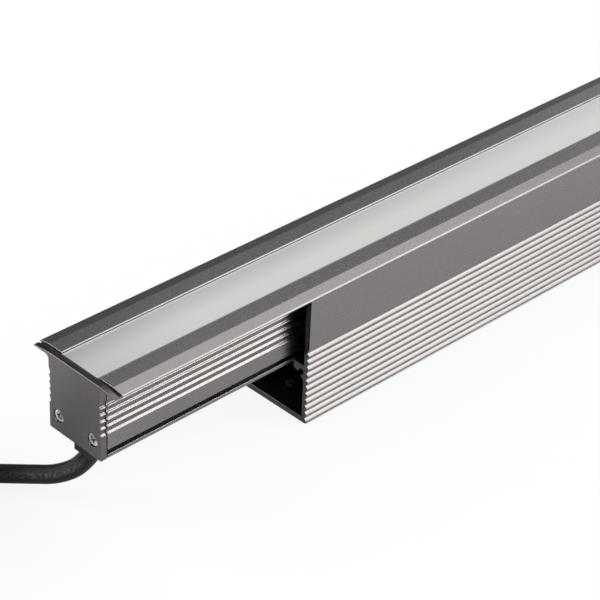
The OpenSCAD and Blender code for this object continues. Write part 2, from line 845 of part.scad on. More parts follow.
// The coil's middle line, with a straight run of one diameter at both ends
function coil_point(t) = let (
    wound_in = coil_turns - abs(t % (coil_turns * 2) - coil_turns),
    r = coil_r - coil_step * wound_in,
    a = coil_angle + 360 * t,
    climbs = [for (k = [1 : coil_layers - 1]) smooth_step((t - k * coil_turns) / climb_turns + 0.5)])
    coil_centre + [r * cos(a), r * sin(a), layer_step * sum(climbs)];

coil_wound = [for (i = [0 : coil_rings * coil_turns * coil_layers]) coil_point(i / coil_rings)];
coil_last = coil_wound[len(coil_wound) - 1];
coil_points = concat([cord_end], coil_wound, [coil_last + cable_d * cord_heading]);
coil_tube = tube_rings(coil_points, cable_r, coil_sides, cord_heading, cord_heading, [0, 0, 1]);

// The coil's least gap to itself, between the corners of turns that lie side by side
function near_gaps() = [for (i = [0 : len(coil_tube) - 1])
    for (j = [i + coil_rings / 2 : 1 : len(coil_tube) - 1])
        if (norm(coil_points[i] - coil_points[j]) < coil_step + cable_r)
            for (a = coil_tube[i])
                for (b = coil_tube[j]) norm(a - b)];

function run_length(p) = sum([for (i = [1 : len(p) - 1]) norm(p[i] - p[i - 1])]);

module cord_coil() {
    echo(least_gap = min(near_gaps()), free_length = run_length(cord_points),
        coil_length = run_length(coil_points));
    color(black_rubber) tube(coil_tube);
}

channel();
lamp_profile();
diffuser();
seal_near();
seal_far();
front_end_cap();
rear_end_cap();
front_gasket();
rear_gasket();
front_cap_screws();
rear_cap_screws();
thermal_pad();
led_board();
leds();
board_screws();
board_connector();
driver();
driver_pad();
terminal_block();
terminal_screws();
wire_live();
wire_neutral();
wire_earth();
driver_leads();
led_leads();
earth_lead();
earth_screw();
cable_grommet();
cord_tail();
cord();
cord_coil();
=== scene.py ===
# %% [markdown]
# # An outdoor wall washer, dressed for its portrait
# The light is a slim aluminium extrusion with a frosted window, drawn part way out of the ribbed channel
# that carries it on a wall. Its solids come ready made in one shared frame, in metres. This script gives
# them their finishes, replaces the few pieces that need softer forms, and lights the whole as for a
# catalogue. The box of the solids is measured at once.

# %% Load the frame
import math

import bmesh
import bpy
from mathutils import Matrix, Quaternion, Vector


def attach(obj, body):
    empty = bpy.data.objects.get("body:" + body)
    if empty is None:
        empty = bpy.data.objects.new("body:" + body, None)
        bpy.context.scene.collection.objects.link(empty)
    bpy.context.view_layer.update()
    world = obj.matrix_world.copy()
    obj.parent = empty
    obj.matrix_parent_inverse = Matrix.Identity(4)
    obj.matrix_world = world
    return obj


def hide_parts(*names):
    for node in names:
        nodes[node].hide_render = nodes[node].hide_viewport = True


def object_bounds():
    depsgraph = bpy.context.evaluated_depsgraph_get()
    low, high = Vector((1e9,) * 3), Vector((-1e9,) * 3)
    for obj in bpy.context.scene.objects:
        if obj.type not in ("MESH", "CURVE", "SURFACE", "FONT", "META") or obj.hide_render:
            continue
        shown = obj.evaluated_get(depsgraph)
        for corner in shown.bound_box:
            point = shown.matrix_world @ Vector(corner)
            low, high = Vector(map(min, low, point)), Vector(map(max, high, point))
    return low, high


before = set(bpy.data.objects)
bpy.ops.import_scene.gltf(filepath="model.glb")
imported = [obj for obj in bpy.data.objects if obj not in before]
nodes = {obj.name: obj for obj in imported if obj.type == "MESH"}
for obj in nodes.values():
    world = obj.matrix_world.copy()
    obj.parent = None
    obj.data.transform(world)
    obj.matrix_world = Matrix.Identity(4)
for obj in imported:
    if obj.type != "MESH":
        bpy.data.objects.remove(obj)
solid_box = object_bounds()
MM = 0.001
UP = Vector((0, 0, 1))
print("box of the solids:", [[round(x, 4) for x in corner] for corner in solid_box])

# %% [markdown]
# ## The camera
# A catalogue picture of such a long product is taken from far away with a long lens, so that its edges
# stay almost parallel. A camera could be moved by hand until it looks right. Here the lens, the place and
# the three angles follow from the edges in the photograph instead: the long edges meet at one vanishing
# point, the ribs and flanges give the other two, and so the pieces fall where they should.

# %% Place the camera
CAMERA_PLACE = Vector((-0.7926, -0.5481, 0.5597))
CAMERA_AZIMUTH = math.radians(44.392)
CAMERA_ELEVATION = math.radians(33.343)
CAMERA_ROLL = math.radians(2.694)
CAMERA_LENS = 132.01
SENSOR_WIDTH = 36.0
NEAREST = 10 * MM


def link(name, data):
    """A new object that shows these data in the scene."""
    thing = bpy.data.objects.new(name, data)
    bpy.context.scene.collection.objects.link(thing)
    return thing


look = Vector((
    math.cos(CAMERA_ELEVATION) * math.cos(CAMERA_AZIMUTH),
    math.cos(CAMERA_ELEVATION) * math.sin(CAMERA_AZIMUTH),
    -math.sin(CAMERA_ELEVATION)))
camera_data = bpy.data.cameras.new("camera")
camera_data.lens = CAMERA_LENS
camera_data.sensor_width = SENSOR_WIDTH
camera_data.clip_start = NEAREST
camera = link("camera", camera_data)
camera.location = CAMERA_PLACE
camera.rotation_mode = "QUATERNION"
camera.rotation_quaternion = look.to_track_quat("-Z", "Y") @ Quaternion((0, 0, 1), CAMERA_ROLL)
bpy.context.scene.camera = camera
print("camera right:", [round(x, 4) for x in camera.rotation_quaternion @ Vector((1, 0, 0))])

# %% [markdown]
# ## The coil
# What the picture doesn't show of the cable lies in a neat coil of four layers, just out of view. A physics
# run could lay it, but a line that is worked out lies the same each time. A point of it follows from how
# many turns have been wound: the first turn winds inwards on the ground, the next one outwards again on
# top of it, and so on, and between two turns the cable climbs gently, as a wound cable does.

# %% Wind the coil
COIL_R = 38 * MM
COIL_STEP = 8.6 * MM
LAYER_STEP = 8.5 * MM
COIL_LAYERS = 4
CLIMB_TURNS = 0.5
RINGS_PER_TURN = 24


def smooth_step(s):
    s = min(1.0, max(0.0, s))
    return s * s * (3 - 2 * s)


def coil_point(centre, start, turns):
    """A point of the coil: its layers wind in and out by turns, from the ground up."""
    radius = COIL_R - COIL_STEP * (1 - abs(turns % 2 - 1))
    climbs = sum(smooth_step((turns - layer) / CLIMB_TURNS + 0.5) for layer in range(1, COIL_LAYERS))
    angle = start + 2 * math.pi * turns
    return centre + Vector((radius * math.cos(angle), radius * math.sin(angle), LAYER_STEP * climbs))


print("coil:", COIL_LAYERS, "layers,", round(2 * COIL_R / MM), "mm across the middle of its widest turn")

# %% [markdown]
# ## The cable's line
# A round rubber cable of 8 mm leaves the lamp through a square grommet, bends down to the ground and runs
# away to the coil. A few handles of a curve could be pulled until it looks right, but the way down is what
# the picture shows best. So the free stretch is a list of given points, each with its share of the drop to
# the ground, and the coil starts where the last one points.

# %% Lay the cable out
CABLE_D = 8 * MM
GROMMET_FOOT = Vector((-348.2, 0, 22)) * MM
DROP = GROMMET_FOOT.z - CABLE_D / 2
ROUTE = [
    (0, 0, 0), (-0.2, 0.4, 0.11), (-1.1, 1.7, 0.26), (-2.6, 3.1, 0.4), (-4.4, 4.7, 0.52), (-6.3, 6.6, 0.61),
    (-8.3, 8.9, 0.69), (-10.8, 12.2, 0.77), (-14.2, 17.9, 0.86), (-18.4, 24, 0.93), (-23.4, 30.2, 0.98),
    (-28.9, 35.8, 1), (-33.8, 40.2, 1), (-38.6, 44.5, 1), (-43.6, 49, 1), (-48.5, 53.5, 1)]


def cable_line():
    """All the points of the cable's middle, from the grommet to the cut end."""
    free = [GROMMET_FOOT + Vector((x * MM, y * MM, -share * DROP)) for x, y, share in ROUTE]
    heading = (free[-1] - free[-2]).normalized()
    left = UP.cross(heading)
    centre = free[-1] + CABLE_D * heading + COIL_R * left
    start = math.atan2(-left.y, -left.x)
    rings = range(RINGS_PER_TURN * COIL_LAYERS + 1)
    wound = [coil_point(centre, start, ring / RINGS_PER_TURN) for ring in rings]
    return free + wound + [wound[-1] + CABLE_D * heading]


def line_length(points):
    return sum((b - a).length for a, b in zip(points, points[1:]))


cable_points = cable_line()
print("cable:", len(cable_points), "points,", round(line_length(cable_points), 3), "m")

# %% [markdown]
# ## The cable
# The sheath is an even tube of rubber. It could be a mesh, swept ring by ring along the line, but a Bezier
# curve with automatic handles needs only the points, and passes through them as a cable would: without a
# kink. A curve gets its thickness from its bevel. Here the bevel's depth is 1 and the knots' radius gives
# the real thickness, so that the box which Blender keeps of the curve is true.

# %% Make the cable
KNOT_STEPS = 6
BEVEL_STEPS = 8


def tube_curve(name, lines, diameter):
    """Round tubes through lists of points, one open spline for each list."""
    data = bpy.data.curves.new(name, "CURVE")
    data.dimensions = "3D"
    data.resolution_u = KNOT_STEPS
    data.bevel_depth = 1.0
    data.bevel_resolution = BEVEL_STEPS
    data.use_fill_caps = True
    for points in lines:
        spline = data.splines.new("BEZIER")
        spline.bezier_points.add(len(points) - 1)
        for knot, point in zip(spline.bezier_points, points):
            knot.co = point
            knot.radius = diameter / 2
            knot.handle_left_type = knot.handle_right_type = "AUTO"
    piece = link(name, data)
    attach(piece, "lamp")
    return piece


cable = tube_curve("cable", [cable_points], CABLE_D)
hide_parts("cord", "cord_coil")
print("cable knots:", len(cable.data.splines[0].bezier_points))

# %% [markdown]
# ## The stripped end
# Such a light comes without a plug. Its cable ends as an electrician leaves it: stripped, with three
# insulated cores that fan out a little, and a few millimetres of bare copper on each. Three straight pegs
# would do from afar, but the cores lie in a triangle inside the sheath, so each starts at its own place in
# the cut end and bends away, and the same tubes as before can draw that.

# %% Strip the cable's end
CORE_D = 2.3 * MM
CORE_L = 11 * MM
CORE_IN = 1.35 * MM
CORE_FAN = 2.2 * MM
CORE_HUES = ("green", "brown", "blue")
CORE_SHARES = (-0.2, 0.3, 0.7, 1)
COPPER_D = 1.3 * MM
COPPER_L = 4.5 * MM
COPPER_SHARES = (-0.1, 0.5, 1)
cable_end = cable_points[-1]
onward = (cable_end - cable_points[-2]).normalized()
aside = UP.cross(onward)


def core_line(turn):
    """A core's points; the turn says where in the sheath it starts."""
    out = math.cos(turn) * aside + math.sin(turn) * UP
    start = cable_end + CORE_IN * out
    fan = math.cos(turn) * CORE_FAN
    return [start + share * CORE_L * onward + share * share * fan * aside for share in CORE_SHARES]


def copper_line(core_points):
    """The bare wire that goes straight on from a core's end."""
    ahead = (core_points[-1] - core_points[-2]).normalized()
    return [core_points[-1] + share * COPPER_L * ahead for share in COPPER_SHARES]


core_lines = [core_line(math.pi / 2 + 2 * math.pi * k / 3) for k in range(3)]
cores = [tube_curve(f"core_{hue}", [line], CORE_D) for hue, line in zip(CORE_HUES, core_lines)]
copper = tube_curve("copper_tips", [copper_line(line) for line in core_lines], COPPER_D)
print("cores:", [core.name for core in cores], "and", copper.name)

# %% [markdown]
# ## A small language for finishes
# A finish is a graph of shader nodes. It can be drawn in the shader editor or written link by link, and
# both grow tedious. One small class wraps a socket instead, so that `0.3 + 0.1 * grain` adds the Math nodes
# by itself and a finish reads like the sum that it is.


# %% Wrap a socket
class Flow:
    """A number that flows out of a node; sums, products and powers add Math nodes."""

    def __init__(self, graph, socket):
        self.graph = graph
        self.socket = socket

    def _math(self, operation, a, b):
        node = self.graph.add("ShaderNodeMath", {"operation": operation}, {0: a, 1: b})
        return Flow(self.graph, node.outputs[0])

    def __add__(self, other):
        return self._math("ADD", self, other)

    def __radd__(self, other):
        return self._math("ADD", other, self)

    def __sub__(self, other):
        return self._math("SUBTRACT", self, other)

    def __rsub__(self, other):
        return self._math("SUBTRACT", other, self)

    def __mul__(self, other):
        return self._math("MULTIPLY", self, other)

    def __rmul__(self, other):
        return self._math("MULTIPLY", other, self)

    def __pow__(self, other):
        return self._math("POWER", self, other)

    def __abs__(self):
        return self._math("ABSOLUTE", self, 0.0)

    def __lt__(self, other):
        return self._math("LESS_THAN", self, other)

    def at_least(self, other):
        return self._math("MAXIMUM", self, other)


# %% [markdown]
# A graph makes any other node from its type, its settings and its inputs. Blender keeps a material's nodes
# and the world's in the same kind of tree, so one class serves both. It holds the two steps that nearly
# each finish takes: to stretch a number over 0 to 1, and to blend two colours by such a number.


# %% Start a graph
class Graph:
    """The nodes of a material or of the world."""

    def __init__(self, tree):
        self.tree = tree

    def add(self, kind, settings=None, inputs=None):
        """Any node: its settings are set first, then the values or links of its sockets."""
        node = self.tree.nodes.new(kind)
        for key, value in (settings or {}).items():
            setattr(node, key, value)
        self.plug(node, inputs or {})
        return node

    def plug(self, node, inputs):
        """Sets or links the sockets of a node."""
        for key, value in inputs.items():
            if isinstance(value, Flow):
                self.tree.links.new(value.socket, node.inputs[key])
            elif isinstance(value, bpy.types.NodeSocket):
                self.tree.links.new(value, node.inputs[key])
            else:
                node.inputs[key].default_value = value

    def spread(self, flow, low, high):
        """Stretches a flow between low and high over 0 to 1, and clips the rest."""
        node = self.add("ShaderNodeMapRange", {"clamp": True}, {
            "Value": flow, "From Min": low, "From Max": high})
        return Flow(self, node.outputs["Result"])

    def blend(self, factor, a, b):
        """A colour between two colours."""
        a, b = (side if not isinstance(side, tuple) else (*side, 1.0) for side in (a, b))
        node = self.add("ShaderNodeMix", {"data_type": "RGBA"}, {"Factor": factor, 6: a, 7: b})
        return node.outputs[2]

    def rays(self, *kinds):
        """1 where the light path that asks is one of these kinds of ray, else 0."""
        path = self.add("ShaderNodeLightPath")
        flows = [Flow(self, path.outputs[f"Is {kind} Ray"]) for kind in kinds]
        return sum(flows[1:], flows[0])


# %% [markdown]
# A finish is the graph of one material. What it asks most is where a point lies and which way it faces,
# because die lines and the painted highlights and shade follow from these. Both come from the piece itself
# and never from the camera, so the finish stays put when the piece is seen from another side.


# %% Start a finish
class Finish(Graph):
    """A material under construction, with its surface shader at hand."""

    def __init__(self, name, colour, roughness, metallic=0.0):
        self.material = bpy.data.materials.new(name)
        self.material.use_nodes = True
        super().__init__(self.material.node_tree)
        self.shader = self.tree.nodes["Principled BSDF"]
        self.surface({"Base Color": (*colour, 1.0), "Roughness": roughness, "Metallic": metallic})

    def surface(self, inputs):
        """Sets or links the sockets of the surface shader."""
        self.plug(self.shader, inputs)

    def place(self, stretch=(1, 1, 1)):
        """The point on the object, in metres, stretched along its axes."""
        where = self.add("ShaderNodeTexCoord").outputs["Object"]
        node = self.add("ShaderNodeVectorMath", {"operation": "MULTIPLY"}, {0: where, 1: stretch})
        return node.outputs[0]

    def axis(self, letter):
        """The place along one axis of the shared frame, in metres."""
        parts = self.add("ShaderNodeSeparateXYZ", None, {0: self.place()})
        return Flow(self, parts.outputs[letter])

    def facing(self, letter):
        """How much the surface faces one axis: -1 to 1."""
        normal = self.add("ShaderNodeNewGeometry").outputs["True Normal"]
        return Flow(self, self.add("ShaderNodeSeparateXYZ", None, {0: normal}).outputs[letter])

    def end_face(self):
        """1 on the faces at either end of the light, which look along X, else 0."""
        return self.spread(abs(self.facing("X")), 0.8, 0.95)

    def noise(self, scale, stretch=(1, 1, 1), detail=2.0):
        """Cloudy noise; the scale says how many clouds go into a metre."""
        node = self.add("ShaderNodeTexNoise", None, {
            "Vector": self.place(stretch), "Scale": scale, "Detail": detail})
        return Flow(self, node.outputs["Fac"])

    def round_edges(self, radius, samples):
        """The surface's normal, as if each edge were rounded by this radius."""
        return self.add("ShaderNodeBevel", {"samples": samples}, {"Radius": radius}).outputs[0]

    def bump(self, height, depth, edge=None):
        """Relief of the given depth in metres, over edges that are rounded by the radius edge."""
        inputs = {"Height": height, "Distance": depth, "Strength": 1.0}
        if edge:
            inputs["Normal"] = self.round_edges(edge, 6)
        self.relief = self.add("ShaderNodeBump", None, inputs)
        self.surface({"Normal": self.relief.outputs[0]})


# %% [markdown]
# A finish goes onto pieces by their names. It could be dragged onto each by hand, but a list of names can
# be read and run again. The solids that came with the frame keep their shape and only change their
# material, and the pieces that are made here take it in the same way.


# %% Dress pieces
def scaled(colour, share):
    """The same hue, darker or brighter."""
    return tuple(share * c for c in colour)


def dress(material, *names):
    """Gives a material to solids of the frame or to new pieces."""
    for name in names:
        piece = nodes.get(name) or bpy.data.objects[name]
        piece.data.materials.clear()
        piece.data.materials.append(material)
    print(f"{material.name} ({len(material.node_tree.nodes)} nodes):", ", ".join(names))


# %% [markdown]
# ## Anodised aluminium
# The profiles are extruded and then anodised to a satin, warm grey. Up close the finish has two scales:
# faint die lines that run the whole length, and the even grain of the etched surface. Pictures of the
# metal could be wrapped round it, but noise needs no picture and has no seams. The die lines are noise that
# is drawn out along X. Both move the colour and the relief a little, and the grain the roughness too. Edges
# get a painted highlight, a brighter colour where the rounded normal parts from the flat one, which finds
# them.

# %% Mix an anodised metal
GRAIN_SCALE = 2300.0
FINE_GRAIN_SCALE = 4200.0
CLOUD_SCALE = 14.0
DIE_LINES = (1.5, 1600.0, 1600.0)
GRAIN_DEPTH = 0.004 * MM
EDGE_HIGHLIGHT_SPREAD = (0.02, 0.2)
EDGE_HIGHLIGHT_SHARE = 2.2


def anodised(name, colour, roughness, along=True, edge=0.2 * MM, contrast=0.09):
    """Satin metal with a painted highlight on its edges; die lines run along X where it was extruded."""
    finish = Finish(name, colour, roughness, metallic=1.0)
    grain = finish.noise(GRAIN_SCALE, detail=1.0)
    cloud = finish.noise(CLOUD_SCALE)
    lines = finish.noise(1.0, DIE_LINES, detail=3.0) if along else grain
    mottle = finish.spread(0.2 * cloud + 0.7 * grain + 0.1 * lines, 0.35, 0.65)
    finish.rounded = finish.round_edges(edge, 8)
    same = finish.add("ShaderNodeVectorMath", {"operation": "DOT_PRODUCT"}, {
        0: finish.rounded, 1: finish.add("ShaderNodeNewGeometry").outputs["True Normal"]})
    # Painted highlight: a brighter colour on the edges, where the rounded normal parts from the flat one.
    finish.worn = finish.spread(1 - Flow(finish, same.outputs["Value"]), *EDGE_HIGHLIGHT_SPREAD)
    finish.bright = scaled(colour, EDGE_HIGHLIGHT_SHARE)
    mottled = finish.blend(mottle, scaled(colour, 1 - contrast), scaled(colour, 1 + contrast))
    finish.colour = finish.blend(0.8 * finish.worn, mottled, finish.bright)
    finish.surface({
        "Base Color": finish.colour,
        "Roughness": roughness - 0.04 + 0.08 * finish.spread(grain, 0.3, 0.7)})
    finish.bump(0.1 * lines + 0.9 * finish.noise(FINE_GRAIN_SCALE), GRAIN_DEPTH)
    finish.plug(finish.relief, {"Normal": finish.rounded})
    return finish


# %% [markdown]
# ## Ribs that catch the light
# The lamp's cooling ribs are rounder than its other edges, and each crest carries one broad gleam while
# the hollow under it stays dark. The solids have few facets there, and more would only make them heavy.
# The same softness comes from the finish: a wider rounding of the normal between the ribs' lowest and
# highest edge, a painted highlight where the metal faces up and painted shade where it faces down.

# %% Mix the gleam of the ribs
LEDGE_H = 29 * MM
RIBS_Z = (LEDGE_H + 11 * MM, LEDGE_H + 31 * MM)
RIB_ROUNDING = 0.8 * MM
UNDERSIDE_SHADE = 0.5


def gleaming_ribs(finish, colour, crests):
    """Ribs between the heights RIBS_Z: rounder, with painted highlights and shade; crests are shares of the
    colour, lowest rib first.
    """
    height = finish.axis("Z")
    ribbed = (height < RIBS_Z[1]) * (1 - (height < RIBS_Z[0])) * (1 - finish.end_face())
    gleam = finish.blend(finish.spread(height, *RIBS_Z), *(scaled(colour, share) for share in crests))
    # Painted highlight on the crests, stronger higher up, and painted shade under the ribs.
    crest = finish.spread(finish.facing("Z"), 0.4, 0.6) * ribbed
    under = finish.spread(-1.0 * finish.facing("Z"), 0.1, 0.4) * ribbed
    finish.colour = finish.blend(under, finish.colour, scaled(colour, UNDERSIDE_SHADE))
    finish.colour = finish.blend(crest, finish.colour, gleam)
    finish.surface({"Base Color": finish.colour})
    softer = finish.add("ShaderNodeMix", {"data_type": "VECTOR"}, {
        0: ribbed, 4: finish.rounded, 5: finish.round_edges(RIB_ROUNDING, 16)})
    finish.plug(finish.relief, {"Normal": softer.outputs[1]})


# %% [markdown]
# ## The channel
# The channel has eleven fine ribs on each wall. Each rib's upper face gets a painted highlight towards its
# root and its lower face painted shade. The depth below the walls' outer planes tells tip from root, so the
# painted shading follows the metal and not a striped picture. The sawn ends get a darker grey, which is
# painted shade.

# %% Make the channel's finish
GREY = (0.215, 0.204, 0.2)
END_SHADE_GREY = (0.08, 0.076, 0.075)
EXTRUDED_ROUGH = 0.28
CHANNEL_W = 47.6 * MM
CHANNEL_RIB_DEPTH = 1.1 * MM
CHANNEL_RIBS_TOP = 38.4 * MM
channel = anodised("anodised_channel", GREY, EXTRUDED_ROUGH)
depth = CHANNEL_W / 2 - abs(channel.axis("Y"))
ribbed = (depth < 1.2 * CHANNEL_RIB_DEPTH) * (channel.axis("Z") < CHANNEL_RIBS_TOP)
root = channel.spread(depth, 0.3 * CHANNEL_RIB_DEPTH, 0.7 * CHANNEL_RIB_DEPTH)
upper = channel.spread(channel.facing("Z"), 0.2, 0.5)
lower = channel.spread(-1.0 * channel.facing("Z"), 0.02, 0.2)
# Painted shade on the ribs' lower faces and towards their tips, and a painted highlight towards the roots.
shade = ribbed * (0.95 * lower + 0.32 * upper * (1 - root))
ribs = channel.blend(shade, channel.colour, scaled(GREY, UNDERSIDE_SHADE))
ribs = channel.blend(0.22 * ribbed * upper * root, ribs, channel.bright)
# The sawn ends get painted shade.
channel.surface({"Base Color": channel.blend(channel.end_face(), ribs, END_SHADE_GREY)})
dress(channel.material, "channel")

# %% [markdown]
# ## The lamp's profile
# The lamp is the same anodised metal with softer edges, so it shares the channel's colour and gets its
# finish from the same function. Its ribs get the painted gleam and shade, and the painted highlight is
# stronger on the upper ribs than on the lower ones.

# %% Make the lamp's finish
lamp_metal = anodised("anodised_lamp", GREY, EXTRUDED_ROUGH, edge=0.3 * MM)
# Painted highlights on the crests, from 1.35 times the grey at the lowest rib to 2.3 at the highest.
gleaming_ribs(lamp_metal, GREY, crests=(1.35, 2.3))
dress(lamp_metal.material, "lamp_profile")

# %% [markdown]
# ## The end caps
# A cap is milled from plate, so it has no die lines but a stronger grain, and a duller face that scatters
# light more than an extruded surface does. That is why its metal share goes down on the face. Its top edge
# is nearly black, with one painted highlight line, and towards the near wing's tip the black gives way to a
# painted reflection where the top slopes. Its lower half gets painted shade. Its narrow sides mirror a
# softbox and would look too light, so they take a darker grey. Its beads get the painted gleam and shade of
# the ribs. Painted maps could say so, but they would need unwrapping first. The masks for these tones come
# from the heights and the directions of the faces.

# %% Make the caps' finish
CAP_GREY = (0.165, 0.153, 0.15)
CAP_SHADE = (0.07, 0.066, 0.065)
CAP_SIDE = (0.14, 0.131, 0.128)
CAP_TOP = (0.05, 0.047, 0.046)
CAP_ROUGH = 0.34
cap = anodised("anodised_cap", CAP_GREY, CAP_ROUGH, along=False, edge=0.4 * MM, contrast=0.2)
gleaming_ribs(cap, CAP_GREY, crests=(1.9, 4.2))
height = cap.axis("Z")
# Towards the near wing's tip the black top fades: a painted reflection where the top slopes.
tip = cap.spread(-1.0 * cap.axis("Y"), 17 * MM, 22 * MM)
top = cap.spread(cap.facing("Z"), 0.9, 0.97) * (1 - 0.7 * tip)
milled = cap.end_face()
# Painted shade on the lower half of the end face.
low = 0.6 * (1 - cap.spread(height, LEDGE_H, LEDGE_H + 30 * MM)) * milled
side = 0.8 * cap.spread(abs(cap.facing("Y")), 0.9, 0.98)
# A painted highlight along the top front edge.
top_edge_highlight = cap.worn * cap.spread(height, LEDGE_H + 31 * MM, LEDGE_H + 34 * MM)
shaded = cap.blend(side, cap.blend(low, cap.colour, CAP_SHADE), CAP_SIDE)
cap.surface({
    "Base Color": cap.blend(top_edge_highlight, cap.blend(top, shaded, CAP_TOP), cap.bright),
    "Metallic": 1 - 0.65 * milled * (1 - top_edge_highlight)})
dress(cap.material, "front_end_cap", "rear_end_cap")

# %% [markdown]
# ## The frosted window
# The diffuser is an opal sheet with a fine matte face. It scatters the light evenly, so it reads as a soft
# pale grey when it is off. A little light passes below its skin, which subsurface scattering stands for. A
# real opal sheet also shows the hollow under it. Here that is painted shade: the sheet is darker over the
# deep far half, most of all near the lamp's cable end, and lighter where it rests on its far seat, and its
# near edge ends in a dark line of painted shade. Light and glass could work that out, slowly and with
# noise. A blend along and across the sheet paints the same.

# %% Make the window
LAMP_X0 = -356 * MM
PANE = (0.50, 0.495, 0.482)
PANE_SHADE = (0.28, 0.29, 0.295)
PANE_EDGE_SHADE = (0.11, 0.105, 0.10)
FROST_ROUGH = 0.42
FROST_SCALE = 3000.0
FROST_DEPTH = 0.006 * MM
ACRYLIC_IOR = 1.49
window = Finish("frosted_window", PANE, FROST_ROUGH)
across = window.axis("Y")
along = window.axis("X")
# Painted shade over the deep far half and at the cable end, with less of it at the far seat.
fade = window.spread(along, LAMP_X0 + 120 * MM, LAMP_X0 + 350 * MM)
deep = window.spread(across, -2 * MM, 9 * MM) * (0.55 - 0.3 * fade)
cable_side = 0.38 * (1 - window.spread(along, LAMP_X0 + 5 * MM, LAMP_X0 + 60 * MM))
rim = window.spread(across, 9.8 * MM, 11 * MM)
pane = window.blend((deep + cable_side) * (1 - rim), PANE, PANE_SHADE)
# A dark line of painted shade along the near edge.
near_edge = window.spread(-1.0 * across, 10.1 * MM, 10.5 * MM)
window.surface({
    "Base Color": window.blend(near_edge, pane, PANE_EDGE_SHADE),
    "Subsurface Weight": 0.15, "Subsurface Scale": 2 * MM, "IOR": ACRYLIC_IOR})
window.bump(window.noise(FROST_SCALE), FROST_DEPTH)
dress(window.material, "diffuser")

# %% [markdown]
# ## The window's seals
# Two thin strips of clear silicone bed the window in its seat. Silicone takes the tone of what lies under
# it: next to the dark end cap it looks black, and further along it is as pale as the window. Real clear
# silicone would need refraction in a strip that is a third of a millimetre wide, so the tone is painted:
# dark shade next to the cap, and the pale tone further along.

# %% Make the seals
SEAL_DARK = (0.06, 0.06, 0.06)
SEAL_PALE = (0.8, 0.795, 0.78)
SEAL_ROUGH = 0.6
seal = Finish("window_seal", SEAL_DARK, SEAL_ROUGH)
# Painted shade next to the cap, which gives way to the pale tone further along.
lit = seal.spread(seal.axis("X"), LAMP_X0 + 20 * MM, LAMP_X0 + 80 * MM)
seal.surface({"Base Color": seal.blend(lit, SEAL_DARK, SEAL_PALE)})
seal.bump(seal.noise(1500.0), 0.02 * MM)
dress(seal.material, "seal_near", "seal_far")

# %% [markdown]
# ## The cable's rubber
# The cable's sheath is extruded rubber: black, satin and finely wrinkled. On the side turned towards the
# side box, the wrinkles carry a pale sheen, which is a painted highlight. It is a mask of the direction
# that the surface faces, broken up by the same noise that makes the wrinkles, so that relief and colour
# belong together.

# %% Make the sheath
SHEATH_BLACK = (0.008, 0.008, 0.008)
SHEATH_HIGHLIGHT = (0.1, 0.1, 0.099)
HIGHLIGHT_SIDE = (-0.80, -0.40, 0.45)
SHEATH_ROUGH = 0.5
WRINKLE_SCALE = 1050.0
WRINKLE_DEPTH = 0.1 * MM
PORE_SCALE = 2500.0
sheath = Finish("cable_rubber", SHEATH_BLACK, SHEATH_ROUGH)
wrinkles = sheath.noise(WRINKLE_SCALE, detail=4.0)
outward = sheath.add("ShaderNodeNewGeometry").outputs["Normal"]
turned_to = sheath.add("ShaderNodeVectorMath", {"operation": "DOT_PRODUCT"}, {0: outward, 1: HIGHLIGHT_SIDE})
# A painted highlight on the side turned towards the side box.
painted_sheen = sheath.spread(Flow(sheath, turned_to.outputs["Value"]), 0.8, 1.0) ** 2.0
streaks = sheath.spread(wrinkles, 0.42, 0.62)
sheath.surface({
    "Base Color": sheath.blend(painted_sheen * (0.3 + 0.7 * streaks), SHEATH_BLACK, SHEATH_HIGHLIGHT),
    "Roughness": 0.3 + 0.2 * wrinkles, "Specular IOR Level": 0.2})
sheath.bump(0.6 * wrinkles + 0.4 * sheath.noise(PORE_SCALE), WRINKLE_DEPTH)
dress(sheath.material, "cable", "cord_tail")

# %% [markdown]
# ## Gaskets, grommet and pads
# The grommet is moulded from matte rubber with rounded edges. The gaskets are cut from sheet, the driver
# lies on foam, and the board on a grey pad that leads its heat away. Each could have a graph of its own,
# but they differ in little more than colour, shine and depth of grain, so one function makes them all.

# %% Make the other soft finishes
RUBBER_GRAIN = 1800.0


def rubber(name, colour, roughness, relief=0.02 * MM, edge=None):
    """A moulded or cut elastomer with an even, fine grain."""
    finish = Finish(name, colour, roughness)
    grain = finish.noise(RUBBER_GRAIN, detail=4.0)
    finish.surface({"Roughness": roughness - 0.06 + 0.12 * grain})
    finish.bump(grain, relief, edge)
    return finish.material


dress(rubber("grommet_rubber", (0.009, 0.009, 0.009), 0.6, edge=0.4 * MM), "cable_grommet")
dress(rubber("gasket_rubber", (0.010, 0.010, 0.010), 0.7), "front_gasket", "rear_gasket")
dress(rubber("foam", (0.03, 0.03, 0.03), 0.9, 0.1 * MM), "driver_pad")
dress(rubber("heat_pad", (0.25, 0.26, 0.28), 0.7), "thermal_pad")

# %% [markdown]
# ## Turning
# The end caps are held by small stainless pan heads, sunk in counterbores. A screw could be modelled face
# by face. But a real one is turned, and that is easy in code: a profile of radii and heights goes round an
# axis, ring by ring, and faces join each ring to the next. Where the radius is 0, one point closes the end.


